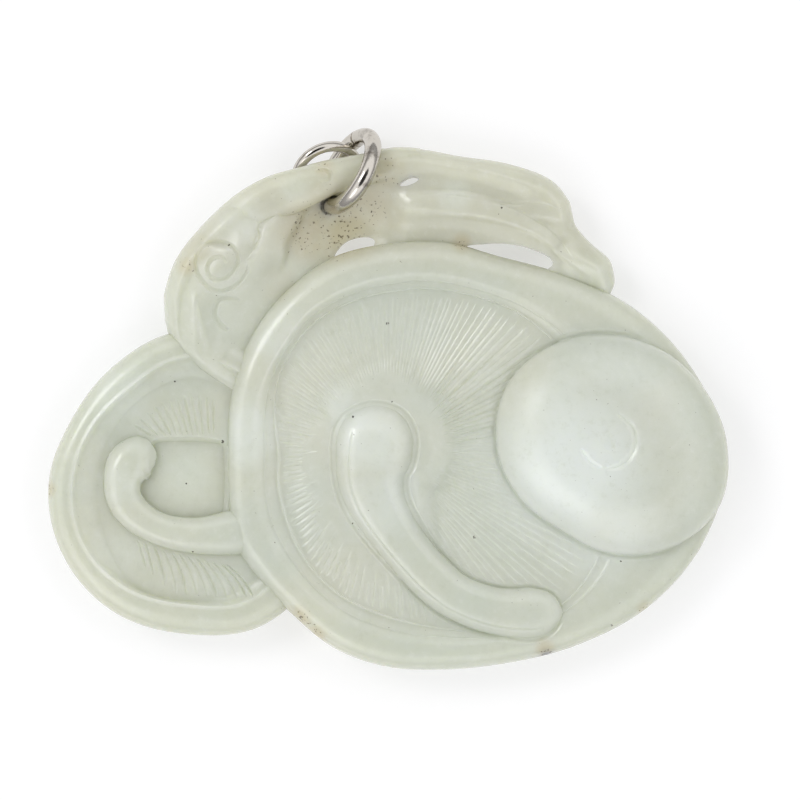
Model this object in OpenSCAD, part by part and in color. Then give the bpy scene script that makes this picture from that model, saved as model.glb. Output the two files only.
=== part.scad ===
// Carved nephrite pendant: two mushroom caps seen from their gilled side, a smooth young
// cap and a crown of leaves, all cut from one pebble, with two silver jump rings through
// the neck of the crown. It lies on its back, carved side up, +Y towards the crown.
// Sizes are millimetres. Bearings are degrees, counter-clockwise from +X.

/* [Large cap] */
// Bearing point of the gills, from the middle of the pendant, along X
cap_x = 0.1; // [-1:0.1:1]
// Bearing point of the gills, along Y
cap_y = -4.7; // [-6:0.1:-4]
// Height of the gill floor over the table
floor_z = 5.3; // [4.8:0.1:5.8]
// Height of the hub that the gills spring from
hub_z = 5.9; // [5.4:0.1:6.4]
// Height of the widest line round the edge
edge_z = 3.3; // [2.6:0.1:4]
// Number of carved gills all round
gills = 72; // [60:2:90]
// Depth of the cut between two gills
gill_depth = 0.35; // [0.2:0.05:0.5]
// Rise of the small step outside the gills
step_rise = 0.15; // [0.1:0.05:0.3]

/* [Young cap] */
// Middle of the smooth cap, along X
young_x = 19.7; // [19:0.1:20]
// Middle of the smooth cap, along Y
young_y = -4.2; // [-5:0.1:-3.5]
// Height of its top over the table
young_top = 8.6; // [8:0.1:9.2]
// Middle of its nipple, along X
nipple_x = 19.4; // [19:0.1:20]
// Middle of its nipple, along Y
nipple_y = -3.7; // [-4.2:0.1:-3.2]
// Radius of the ring cut round its nipple
nipple_r = 2.42; // [1.8:0.02:3]

/* [Small cap] */
// Centre of the small gilled cap, along X
small_x = -17.8; // [-18.5:0.1:-17]
// Centre of the small gilled cap, along Y
small_y = -7.6; // [-8.2:0.1:-7]
// Height of its floor over the table
small_floor_z = 4.75; // [4.2:0.05:5]
// Height of its pit floor over the table
pit_z = 4.3; // [3.6:0.1:4.5]
// Height of its back over the table
small_back_z = 0.6; // [0.3:0.1:1]

/* [Crown] */
// Height of the back of the leaves over the table
crown_back_z = 0.9; // [0.6:0.1:1.4]
// Height of the widest line round the leaves
crown_edge_z = 3.0; // [2.6:0.1:3.6]

/* [Rings] */
// Radius of the upper jump ring, to the middle of its wire
jump_r = 3.43; // [3.38:0.01:3.48]
// Wire diameter of the upper jump ring
jump_wire = 1.5; // [1.3:0.05:1.5]
// Radius of the lower link ring, to the middle of its wire
link_r = 2.83; // [2.8:0.01:2.86]
// Wire diameter of the lower link ring
link_wire = 0.94; // [0.8:0.02:0.94]
// Opening of the sawn seam in each ring, in degrees of turn
seam = 2; // [1:0.5:3]

/* [Hidden] */

// Columns of the cap tables
OUTLINE = 1;
CREST = 2;
GILL_OUT = 3;
GILL_IN = 4;
CREST_Z = 5;

// Large cap, a section every 15 degrees:
// bearing, outline radius, radius of the rim's crest, gills' outer end, gills' inner end, crest height
large_cap = [
    [0, 29.9, 22.6, 17.6, 4.9, 5.58],
    [15, 27.9, 21.6, 17.6, 4.9, 5.58],
    [30, 25.2, 20.2, 17.5, 5.0, 5.67],
    [45, 22.1, 18.6, 16.8, 5.2, 5.72],
    [60, 19.9, 17.2, 15.7, 5.3, 5.81],
    [75, 19.2, 16.4, 14.8, 6.0, 5.94],
    [90, 18.4, 15.6, 14.0, 6.7, 5.99],
    [105, 17.9, 15.0, 13.5, 6.6, 6.08],
    [120, 17.0, 14.3, 13.0, 6.4, 6.08],
    [135, 16.2, 13.3, 12.2, 6.4, 6.08],
    [150, 15.4, 12.8, 11.3, 6.5, 6.08],
    [165, 14.6, 12.5, 10.2, 6.9, 6.08],
    [180, 14.2, 12.3, 9.5, 7.2, 6.03],
    [195, 14.6, 12.7, 9.9, 7.5, 5.99],
    [210, 15.8, 13.6, 10.4, 7.8, 5.94],
    [225, 16.1, 14.0, 11.3, 8.6, 5.94],
    [240, 16.7, 14.7, 12.4, 9.6, 5.90],
    [255, 18.0, 15.9, 13.4, 11.0, 5.85],
    [270, 19.0, 16.9, 14.4, 11.6, 5.81],
    [285, 19.9, 17.9, 15.9, 10.0, 5.81],
    [300, 21.5, 19.4, 18.1, 7.0, 5.72],
    [315, 24.0, 21.4, 20.0, 4.6, 5.58],
    [330, 26.9, 22.9, 20.6, 4.4, 5.54],
    [345, 29.1, 23.2, 19.6, 4.6, 5.54],
];

// Small cap, a section every 30 degrees, in the same columns
small_cap = [
    [0, 11.5, 9.6, 7.6, 4.6, 5.10],
    [30, 12.0, 10.2, 8.2, 4.8, 5.22],
    [60, 13.2, 11.0, 9.0, 4.2, 5.34],
    [90, 13.6, 11.2, 9.2, 4.2, 5.46],
    [120, 12.3, 9.8, 8.4, 5.4, 5.58],
    [150, 11.6, 9.6, 7.8, 6.6, 5.58],
    [180, 12.1, 9.9, 7.8, 6.6, 5.52],
    [210, 12.5, 10.3, 8.2, 6.6, 5.46],
    [240, 12.9, 10.4, 9.8, 5.8, 5.40],
    [270, 13.2, 10.5, 10.2, 5.9, 5.34],
    [300, 14.2, 11.6, 10.4, 6.2, 5.22],
    [330, 13.6, 11.0, 9.6, 5.4, 5.10],
];

// Young cap, a section every 30 degrees: bearing, outline radius
young_outline = [
    [0, 10.25],
    [30, 9.65],
    [60, 9.6],
    [90, 9.85],
    [120, 10.3],
    [150, 10.6],
    [180, 10.05],
    [210, 9.2],
    [240, 8.6],
    [270, 9.45],
    [300, 10.4],
    [330, 10.9],
];
// Its dome from the top outwards: share of the radius, drop below the top
dome = [
    [0.2, 0.03],
    [0.4, 0.15],
    [0.6, 0.42],
    [0.75, 0.86],
    [0.87, 1.45],
    [0.94, 1.95],
    [0.98, 2.5],
    [1, 3.2],
    [0.985, 4.2],
    [0.93, 6.9],
];

// Crown, laid round the large cap: bearing, outline radius, then the height of the
// surface at each fifth of its breadth, from the large cap's edge to its own outer edge
OUTER = 1;
FIRST_Z = 2;
crown = [
    [35, 23.9, 4.0, 4.1, 4.2, 4.2, 3.9],
    [36.5, 24.9, 4.2, 4.3, 4.5, 4.5, 4.1],
    [38.6, 25.5, 4.2, 4.4, 4.7, 4.8, 4.4],
    [41, 25.9, 4.3, 4.6, 5.0, 5.2, 4.8],
    [46, 25.7, 4.4, 4.6, 4.9, 5.0, 4.6],
    [50.5, 26.0, 4.4, 4.7, 4.7, 4.6, 4.6],
    [54, 27.3, 4.4, 4.8, 4.9, 4.8, 5.1],
    [59, 28.0, 4.4, 4.6, 5.2, 5.0, 5.5],
    [67, 27.6, 4.3, 4.5, 5.4, 4.9, 5.7],
    [76, 26.9, 4.3, 4.5, 5.4, 4.9, 5.7],
    [85, 26.9, 4.2, 4.4, 5.2, 4.7, 5.3],
    [92, 26.8, 3.6, 3.5, 3.9, 4.5, 5.1],
    [98, 26.8, 3.3, 3.1, 3.3, 4.2, 5.2],
    [105, 26.7, 3.3, 3.1, 3.2, 4.3, 5.3],
    [111, 26.6, 4.0, 4.0, 4.6, 6.0, 6.2],
    [117, 26.5, 4.4, 4.8, 5.9, 6.5, 6.3],
    [124, 26.2, 4.6, 5.0, 6.1, 6.4, 6.1],
    [131, 25.8, 4.7, 5.1, 5.9, 6.2, 5.9],
    [138, 25.3, 4.8, 5.2, 5.8, 6.1, 5.8],
    [145, 24.2, 4.9, 5.2, 5.7, 6.0, 5.6],
    [149.5, 22.9, 5.0, 5.3, 5.7, 5.9, 5.5],
    [152, 22.0, 5.0, 5.3, 5.7, 5.9, 5.6],
    [154, 20.8, 5.1, 5.4, 5.7, 5.9, 5.6],
    [155.6, 19.6, 5.2, 5.4, 5.5, 5.5, 5.3],
    [156.7, 18.0, 5.1, 5.2, 5.2, 5.2, 5.1],
    [158, 16.2, 5.0, 5.0, 5.0, 4.9, 4.8],
    [159.5, 14.8, 4.8, 4.8, 4.7, 4.7, 4.6],
];

// Stems, from the curled or round end outwards: x, y, half width, height of the crest
large_stem = [
    [-1.0, -0.6, 1.2, 5.8],
    [-0.9, -1.0, 2.0, 6.1],
    [-0.8, -1.7, 2.8, 6.6],
    [-0.9, -2.9, 3.5, 7.0],
    [-1.1, -4.6, 3.5, 7.1],
    [-1.3, -6.9, 3.0, 7.0],
    [-0.7, -9.1, 2.8, 6.9],
    [0.5, -11.6, 2.4, 6.8],
    [2.3, -14.0, 2.15, 6.7],
    [4.2, -16.0, 2.1, 6.6],
    [6.2, -17.5, 2.05, 6.5],
    [8.7, -18.5, 2.1, 6.5],
    [10.9, -18.9, 2.2, 6.5],
    [12.7, -18.9, 2.3, 6.4],
    [14.2, -18.8, 1.9, 6.2],
    [15.1, -18.75, 1.1, 5.9],
];
small_stem = [
    [-20.6, -5.0, 1.1, 5.2],
    [-21.2, -5.05, 1.75, 5.6],
    [-22.1, -5.35, 2.05, 5.85],
    [-22.9, -6.1, 2.0, 5.95],
    [-23.3, -7.3, 1.7, 5.95],
    [-23.2, -8.7, 1.6, 5.85],
    [-22.4, -10.0, 1.55, 5.8],
    [-20.9, -11.1, 1.45, 5.75],
    [-19.0, -11.8, 1.5, 5.75],
    [-16.5, -12.1, 1.65, 5.8],
    [-13.5, -11.8, 2.0, 5.95],
    [-11.0, -11.2, 2.1, 6.0],
];

// Neck of the crown, which the jump ring goes round: x, y, middle height, half width, half depth
neck = [
    [-12.0, 16.6, 4.2, 1.7, 1.2],
    [-9.8, 17.6, 4.7, 1.9, 1.3],
    [-7.6, 18.5, 5.1, 1.85, 1.2],
    [-5.3, 19.4, 4.7, 1.6, 1.35],
    [-3.5, 19.85, 4.3, 1.5, 1.3],
    [-1.6, 20.2, 4.0, 1.5, 1.25],
    [0.8, 20.6, 3.8, 1.6, 1.3],
    [3.0, 20.7, 3.6, 1.4, 1.2],
];

// Openings cut right through beside the large cap, as corners in plan
openings = [
    [
        [-4.6, 12.4],
        [-4.2, 13.3],
        [-3.4, 13.95],
        [-2.3, 14.25],
        [-1.4, 14.2],
        [-1.1, 13.8],
        [-1.6, 12.6],
        [-3.2, 11.9],
    ],
    [
        [1.1, 18.8],
        [1.6, 19.3],
        [2.3, 19.55],
        [2.8, 19.4],
        [2.5, 19.05],
        [1.7, 18.75],
    ],
    [
        [7.0, 13.4],
        [8.6, 13.65],
        [10.2, 13.7],
        [11.8, 13.5],
        [13.1, 13.1],
        [14.2, 12.6],
        [14.65, 12.1],
        [14.4, 11.6],
        [12.6, 10.6],
        [10.0, 10.9],
        [7.9, 12.2],
    ],
];
// Pit inside the curl of the small stem, as corners in plan, and the radius of its corners
pit = [[-19.8, -4.4], [-15.0, -4.4], [-15.0, -9.9], [-19.0, -10.0], [-20.8, -8.6], [-21.0, -7.6]];
pit_round = 0.6;
// Room of the rings outside the neck, cut through, as corners in plan
ring_room = [
    [-8.7, 24],
    [-8.9, 21],
    [-8.9, 18.3],
    [-7.0, 18.75],
    [-4.7, 19.6],
    [-2.4, 20.2],
    [-0.9, 20.7],
    [-0.6, 22],
    [-0.9, 24],
];
// Slope cut from behind under the neck: where it is, its turn and width, and its outline
// across the neck as distance outwards and height
undercut_at = [-4.7, 19.5];
undercut_turn = 17;
undercut_wide = 8.4;
undercut = [[6, -1], [6, 3.3], [0.3, 3.3], [-2.7, 1.2], [-2.7, -1]];
// How much wider than its wire the bore of the jump ring is
bore_play = 0.36;

// Places of the two rings: middle, bearing of the long axis in plan, tilt of the ring's
// plane, and the turn that puts the sawn seam where it shows
jump_at = [-3.27, 20.07, 4.0];
jump_bearing = 62;
jump_tilt = 65;
jump_seam_turn = 33;
link_at = [-5.32, 19.98, 2.41];
link_bearing = 27.9;
link_tilt = -41.9;
link_seam_turn = 175;

// Counts of points round each piece
columns = 2 * gills;
small_columns = 64;
crown_columns = 60;
stem_sides = 12;
young_columns = 48;

// Share of a cap's radius that its flat back takes
back_share = 0.72;
// Height over its foot of a stem's widest line
stem_widest = 0.8;
// Power that squares the round section of a stem
stem_square = 0.75;
// How far the crown runs in under the large cap's edge
crown_tuck = 2;
// Turn of the neck's cross sections from X
neck_turn = 12;
// Lower end and height of all the straight cuts
cut_from = -1;
cut_high = 12;

function squared(v) = sign(v) * pow(abs(v), stem_square);
function wrap(i, n) = (i % n + n) % n;
function mix(a, b, t) = a + (b - a) * t;
function between(a, b, c, d, t) =
    b + 0.5 * t * (c - a + t * (2 * a - 5 * b + 4 * c - d + t * (3 * (b - c) + d - a)));

// A column of a cap table at any bearing, curved through its rows
function cap_value(table, bearing, column) =
    let (n = len(table), place = bearing * n / 360, i = floor(place))
    between(table[wrap(i - 1, n)][column], table[wrap(i, n)][column],
            table[wrap(i + 1, n)][column], table[wrap(i + 2, n)][column], place - i);

// A column of an open table at a place from 0 to its last row
function open_value(table, place, column) =
    let (last = len(table) - 1, i = min(floor(place), last - 1))
    between(table[max(i - 1, 0)][column], table[i][column],
            table[i + 1][column], table[min(i + 2, last)][column], place - i);

// Place in the crown's table of a bearing
function crown_place(bearing) =
    let (i = max([for (k = [0 : len(crown) - 2]) if (crown[k][0] <= bearing) k]))
    i + (bearing - crown[i][0]) / (crown[i + 1][0] - crown[i][0]);

// One side of a cap at a bearing, from the hub out over the rim and in along the back.
// Each station is [radius, height, share of the gill cut].
function cap_section(table, bearing, middle_z, low_z, back_z) =
    let (
        outer = cap_value(table, bearing, OUTLINE),
        crest = cap_value(table, bearing, CREST),
        gill_out = cap_value(table, bearing, GILL_OUT),
        gill_in = cap_value(table, bearing, GILL_IN),
        top = cap_value(table, bearing, CREST_Z),
        shoulder = low_z + step_rise
    )
    [
        [gill_in * 0.5, middle_z, 0],
        [gill_in, mix(middle_z, low_z, 0.15), 0.15],
        [mix(gill_in, gill_out, 0.4), mix(middle_z, low_z, 0.7), 1],
        [mix(gill_in, gill_out, 0.88), low_z, 1],
        [gill_out, low_z + 0.05, 0.3],
        [gill_out + 0.25, shoulder, 0],
        [mix(gill_out + 0.25, crest, 0.55), mix(shoulder, top, 0.6), 0],
        [crest, top, 0],
        [mix(crest, outer, 0.45), mix(edge_z, top, 0.89), 0],
        [mix(crest, outer, 0.82), mix(edge_z, top, 0.57), 0],
        [outer, edge_z, 0],
        [outer * 0.96, mix(back_z, edge_z, 0.4), 0],
        [outer * back_share, back_z, 0],
    ];

// Closed solid through rings of points that share a count, with a point at each end
module ring_solid(rings, first_point, last_point) {
    n = len(rings[0]);
    count = len(rings);
    points = [first_point, for (ring = rings) each ring, last_point];
    last = len(points) - 1;
    faces = [
        for (i = [0 : n - 1]) [0, 1 + (i + 1) % n, 1 + i],
        for (k = [0 : count - 2]) for (i = [0 : n - 1])
            [1 + k * n + i, 1 + k * n + (i + 1) % n, 1 + (k + 1) * n + i],
        for (k = [0 : count - 2]) for (i = [0 : n - 1])
            [1 + k * n + (i + 1) % n, 1 + (k + 1) * n + (i + 1) % n, 1 + (k + 1) * n + i],
        for (i = [0 : n - 1]) [last, 1 + (count - 1) * n + i, 1 + (count - 1) * n + (i + 1) % n],
    ];
    polyhedron(points, faces, convexity = 10);
}

// A gilled cap: every second column of points is cut down to leave the gills standing
module cap(table, at_x, at_y, middle_z, low_z, back_z, count) {
    sections = [
        for (i = [0 : count - 1])
            cap_section(table, i * 360 / count, middle_z, low_z, back_z)
    ];
    rings = [
        for (k = [0 : len(sections[0]) - 1]) [
            for (i = [0 : count - 1])
                let (bearing = i * 360 / count, station = sections[i][k])
                [
                    at_x + station[0] * cos(bearing),
                    at_y + station[0] * sin(bearing),
                    station[1] - (i % 2) * gill_depth * station[2]
                ]
        ]
    ];
    ring_solid(rings, [at_x, at_y, middle_z], [at_x, at_y, back_z]);
}

// A stem with a rounded back, swept through the rows of its table
module stem(table, low_z) {
    steps = 3 * (len(table) - 1);
    rows = [for (k = [0 : steps]) [for (c = [0 : 3]) open_value(table, k / 3, c)]];
    heading = [
        for (k = [0 : steps])
            let (a = rows[max(k - 1, 0)], b = rows[min(k + 1, steps)])
            atan2(b[1] - a[1], b[0] - a[0])
    ];
    rings = [
        for (k = [0 : steps]) [
            for (j = [0 : stem_sides - 1])
                let (
                    turn = 360 * (j + 0.5) / stem_sides,
                    side = rows[k][2] * squared(cos(turn)),
                    up = squared(sin(turn))
                )
                [
                    rows[k][0] + side * sin(heading[k]),
                    rows[k][1] - side * cos(heading[k]),
                    mix(low_z + stem_widest, up > 0 ? rows[k][3] : low_z, abs(up))
                ]
        ]
    ];
    end_point = function (k, share)
        [
            rows[k][0] + share * rows[k][2] * cos(heading[k]),
            rows[k][1] + share * rows[k][2] * sin(heading[k]),
            low_z + stem_widest
        ];
    ring_solid(rings, end_point(0, -0.5), end_point(steps, 0.7));
}

// The crown of leaves: a curved slab round the large cap, from inside its edge outwards
module crown_leaves() {
    first = crown[0][0];
    last = crown[len(crown) - 1][0];
    stations = 5;
    sections = [
        for (k = [0 : crown_columns])
            let (
                bearing = mix(first, last, k / crown_columns),
                place = crown_place(bearing),
                inner = cap_value(large_cap, bearing, OUTLINE) - crown_tuck,
                outer = max(open_value(crown, place, OUTER), inner + 0.6),
                top = [for (j = [0 : stations - 1]) open_value(crown, place, FIRST_Z + j)]
            )
            [
                [mix(inner, outer, 0.75), crown_back_z],
                [mix(inner, outer, 0.93), mix(crown_back_z, crown_edge_z, 0.3)],
                [outer, crown_edge_z],
                [mix(inner, outer, 0.94), mix(crown_edge_z, top[stations - 1], 0.7)],
                for (j = [stations - 1 : -1 : 0]) [mix(inner + 1.5, outer, j / stations), top[j]],
                [inner, crown_back_z + 0.9],
            ]
    ];
    rings = [
        for (k = [0 : crown_columns]) let (bearing = mix(first, last, k / crown_columns)) [
            for (p = sections[k])
                [cap_x + p[0] * cos(bearing), cap_y + p[0] * sin(bearing), p[1]]
        ]
    ];
    middle = function (ring) ([for (p = ring) 1] * ring) / len(ring);
    ring_solid(rings, middle(rings[0]), middle(rings[crown_columns]));
}

module small_gilled_cap() {
    difference() {
        cap(small_cap, small_x, small_y, small_floor_z, small_floor_z, small_back_z, small_columns);
        translate([0, 0, pit_z]) linear_extrude(cut_high)
            offset(r = pit_round, $fn = 24) polygon(pit);
    }
}

module neck_bar() {
    for (k = [0 : len(neck) - 2]) hull() for (row = [neck[k], neck[k + 1]])
        translate([row[0], row[1], row[2]])
            rotate([0, 0, neck_turn])
                scale([0.5, row[3], row[4]])
                    sphere(r = 1, $fn = 16);
}

// A straight cut through the whole thickness
module cut_through(corners) {
    translate([0, 0, cut_from]) linear_extrude(cut_high) polygon(corners);
}

// The slope that frees the neck from behind
module neck_undercut() {
    translate(undercut_at) rotate([0, 0, undercut_turn]) rotate([90, 0, 90])
        linear_extrude(undercut_wide, center = true) polygon(undercut);
}

// The smooth cap: a low dome of egg-shaped plan, with a ring cut round its nipple
module young_cap() {
    rings = [
        for (row = dome) [
            for (i = [0 : young_columns - 1])
                let (
                    bearing = i * 360 / young_columns,
                    radius = row[0] * cap_value(young_outline, bearing, OUTLINE)
                )
                [
                    young_x + radius * cos(bearing),
                    young_y + radius * sin(bearing),
                    young_top - row[1]
                ]
        ]
    ];
    difference() {
        ring_solid(rings, [young_x, young_y, young_top], [young_x, young_y, 1.5]);
        translate([nipple_x, nipple_y, young_top - 0.4]) rotate_extrude($fn = 28)
            polygon([[nipple_r - 0.4, 1], [nipple_r, 0], [nipple_r + 0.4, 1]]);
    }
}

module jade_carving() {
    color([0.78, 0.8, 0.73]) difference() {
        union() {
            cap(large_cap, cap_x, cap_y, hub_z, floor_z, 0, columns);
            small_gilled_cap();
            stem(large_stem, floor_z - 1.2);
            stem(small_stem, pit_z - 0.8);
            young_cap();
            difference() {
                crown_leaves();
                cut_through(ring_room);
                neck_undercut();
                ring_place(jump_at, jump_bearing, jump_tilt)
                    ring_wire(jump_r, jump_wire + bore_play, 360, 48, 16);
            }
            neck_bar();
        }
        for (corners = openings) cut_through(corners);
    }
}

module ring_place(middle, bearing, tilt) {
    translate(middle) rotate([0, 0, bearing]) rotate([-tilt, 0, 0]) children();
}

module ring_wire(radius, wire, angle, around, sides) {
    rotate_extrude(angle = angle, $fn = around) translate([radius, 0]) circle(d = wire, $fn = sides);
}

// The rings are sawn through once, and their seams face where the turn puts them
module jump_ring() {
    color([0.78, 0.78, 0.8]) ring_place(jump_at, jump_bearing, jump_tilt)
        rotate([0, 0, jump_seam_turn]) ring_wire(jump_r, jump_wire, 360 - seam, 64, 32);
}

module link_ring() {
    color([0.72, 0.72, 0.74]) ring_place(link_at, link_bearing, link_tilt)
        rotate([0, 0, link_seam_turn]) ring_wire(link_r, link_wire, 360 - seam, 64, 32);
}

jade_carving();
jump_ring();
link_ring();
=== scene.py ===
"""Carved nephrite pendant: two mushroom caps seen from their gilled side, a smooth young cap and
a crown of leaves, cut from one pebble, with two silver jump rings through the crown's neck.
The forms are made in millimetres and scaled to metres when they become pieces."""

import math
import random

import bmesh
import bpy
from mathutils import Matrix, Vector, noise
from mathutils.bvhtree import BVHTree
from mathutils.kdtree import KDTree


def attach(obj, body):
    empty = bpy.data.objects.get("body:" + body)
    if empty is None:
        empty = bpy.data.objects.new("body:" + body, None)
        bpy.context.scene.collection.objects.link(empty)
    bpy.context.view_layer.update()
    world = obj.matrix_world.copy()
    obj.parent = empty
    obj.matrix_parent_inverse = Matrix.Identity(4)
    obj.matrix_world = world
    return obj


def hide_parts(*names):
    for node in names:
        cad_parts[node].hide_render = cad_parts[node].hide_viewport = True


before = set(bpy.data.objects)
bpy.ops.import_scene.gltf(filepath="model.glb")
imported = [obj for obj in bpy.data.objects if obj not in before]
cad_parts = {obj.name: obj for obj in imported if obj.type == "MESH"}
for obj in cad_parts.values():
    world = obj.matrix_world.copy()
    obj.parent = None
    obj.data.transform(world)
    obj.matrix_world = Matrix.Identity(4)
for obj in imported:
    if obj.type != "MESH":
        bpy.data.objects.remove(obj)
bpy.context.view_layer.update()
random.seed(88)


# Large cap
# The big mushroom seen from below, cut from the whole width of the pebble: a rounded rim round
# a sunk floor. Each gill is one stroke of a small wheel, which runs out at both of its ends.
MM = 0.001
CAP_MIDDLE = Vector((0.1, -4.7, 0.0))
CAP_FLOOR = 5.3  # height of the sunk floor
CAP_HUB = 6.0  # height of the hub that the gills start from
CAP_EDGE = 3.3  # height at which a cap's outline is widest
FLAT_SHARE = 0.72  # how much of the radius the flat of the back takes
HAND_WOBBLE = 0.05  # unevenness that the hand leaves in a polished face
HUB_STATIONS = 6
GILL_STATIONS = 16
# Places across the cove between gills and crest, close where the two fine beads stand, and
# places across the rim from the crest to the outline
COVE_STATIONS = [0.0, 0.01, 0.025, 0.04, 0.055, 0.07, 0.1, 0.16, 0.24, 0.32, 0.4, 0.43, 0.455,
                 0.47, 0.485, 0.51, 0.55, 0.63, 0.72, 0.81, 0.88, 0.93, 0.965]
RIM_STATIONS = [0.0, 0.02, 0.045, 0.08, 0.14, 0.24, 0.36, 0.48, 0.6, 0.7, 0.79, 0.86, 0.915, 0.955,
                0.98, 0.995]

CAP_STEP = 15  # degrees between the rows of the next table
# Counter-clockwise from +X: outline radius, radius of the rim's crest, outer end of the gills,
# inner end of the gills, height of the crest
LARGE_CAP = [
    (29.9, 22.6, 17.6, 4.9, 5.58),
    (27.9, 21.6, 17.6, 4.9, 5.58),
    (25.2, 20.2, 17.5, 5.0, 5.67),
    (22.1, 18.6, 16.8, 5.2, 5.72),
    (19.9, 17.2, 15.7, 5.3, 5.81),
    (19.2, 16.4, 14.8, 6.0, 5.94),
    (18.4, 15.6, 14.0, 6.7, 5.99),
    (17.9, 15.0, 13.5, 6.6, 6.08),
    (17.0, 14.3, 13.0, 6.4, 6.08),
    (16.2, 13.3, 12.2, 6.4, 6.08),
    (15.4, 12.8, 11.3, 6.5, 6.08),
    (14.6, 12.5, 10.2, 6.9, 6.08),
    (14.2, 12.3, 9.5, 7.2, 6.03),
    (14.6, 12.7, 9.9, 7.5, 5.99),
    (15.8, 13.6, 10.4, 7.8, 5.94),
    (16.1, 14.0, 11.3, 8.6, 5.94),
    (16.7, 14.7, 12.4, 9.6, 5.90),
    (18.0, 15.9, 13.4, 11.0, 5.85),
    (19.0, 16.9, 14.4, 11.6, 5.81),
    (19.9, 17.9, 15.9, 10.0, 5.81),
    (21.5, 19.4, 18.1, 7.0, 5.72),
    (24.0, 21.4, 20.0, 4.6, 5.58),
    (26.9, 22.9, 20.6, 4.4, 5.54),
    (29.1, 23.2, 19.6, 4.6, 5.54),
]
GILL_STEP = 30  # degrees between the rows of the next table
# Pitch of the gills in degrees, half width of a stroke, its depth
GILL_STROKES = [
    (2.6, 0.17, 0.08),
    (3.0, 0.32, 0.16),
    (2.1, 0.18, 0.08),
    (1.9, 0.16, 0.06),
    (2.1, 0.16, 0.065),
    (2.3, 0.16, 0.075),
    (2.8, 0.17, 0.09),
    (3.1, 0.19, 0.10),
    (3.1, 0.19, 0.10),
    (2.7, 0.18, 0.09),
    (2.4, 0.16, 0.07),
    (2.4, 0.15, 0.065),
]
GILL_ROOM = 0.44  # share of the pitch that a gill's half width may take


def mix(a, b, t):
    """The place t of the way from a to b."""
    return a + (b - a) * t


def eased(t):
    """Rises softly from 0 to 1 while t does."""
    t = min(max(t, 0.0), 1.0)
    return t * t * (3 - 2 * t)


def row_at(table, place, closed=False):
    """All columns of a table at a place between its rows, on smooth curves through the rows."""
    count = len(table)
    i = math.floor(place)
    if closed:
        near = [table[(i + k) % count] for k in (-1, 0, 1, 2)]
    else:
        i = min(max(i, 0), count - 2)
        near = [table[min(max(i + k, 0), count - 1)] for k in (-1, 0, 1, 2)]
    t = place - i
    return [
        b + 0.5 * t * (c - a + t * (2 * a - 5 * b + 4 * c - d + t * (3 * (b - c) + d - a)))
        for a, b, c, d in zip(*near)
    ]


def uneven(x, y, seed, size=6.0):
    """Height that the hand's uneven polish adds at a place."""
    return HAND_WOBBLE * noise.noise(Vector((x / size, y / size, seed)))


def skin(bm, around, along, place):
    """Adds a closed form to bm: a tube of around x along faces with its open ends filled, its
    faces pointing outwards. place(i, k) gives the point i round the tube and k along it."""
    part = bmesh.new()
    bmesh.ops.create_grid(part, x_segments=around, y_segments=along, size=1.0)
    for v in part.verts:
        i = round((v.co.x + 1) / 2 * around) % around
        v.co = place(i, round((v.co.y + 1) / 2 * along))
    bmesh.ops.remove_doubles(part, verts=part.verts, dist=1e-6)
    bmesh.ops.holes_fill(part, edges=[e for e in part.edges if e.is_boundary])
    bmesh.ops.recalc_face_normals(part, faces=part.faces)
    if part.calc_volume(signed=True) < 0:
        bmesh.ops.reverse_faces(part, faces=part.faces)
    mesh = bpy.data.meshes.new("part")
    part.to_mesh(mesh)
    part.free()
    bm.from_mesh(mesh)
    bpy.data.meshes.remove(mesh)


def solid(name, bm):
    """Turns a finished bmesh into an object."""
    mesh = bpy.data.meshes.new(name)
    bm.to_mesh(mesh)
    bm.free()
    made = bpy.data.objects.new(name, mesh)
    bpy.context.scene.collection.objects.link(made)
    return made


def skinned(name, around, along, place):
    """An object of one closed form, which skin makes."""
    bm = bmesh.new()
    skin(bm, around, along, place)
    return solid(name, bm)


def carve(body, others, operation="DIFFERENCE"):
    """Cuts the others out of body, or joins them to it, and leaves one closed mesh."""
    for other in others:
        step = body.modifiers.new(other.name, "BOOLEAN")
        step.solver = "MANIFOLD"
        step.operation = operation
        step.object = other
    shaped = body.evaluated_get(bpy.context.evaluated_depsgraph_get())
    old, body.data = body.data, bpy.data.meshes.new_from_object(shaped)
    body.modifiers.clear()
    bpy.data.meshes.remove(old)
    for other in others:
        bpy.data.meshes.remove(other.data)


class Surface:
    """The upper face of a form, which a stroke of the wheel follows."""

    def __init__(self, form):
        self.tree = BVHTree.FromPolygons(
            [v.co for v in form.data.vertices], [p.vertices for p in form.data.polygons]
        )

    def height(self, x, y):
        over_all = Vector((x, y, 40.0))
        hit = self.tree.ray_cast(over_all, Vector((0, 0, -1)))[0]
        return hit.z if hit else 0.0


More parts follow.
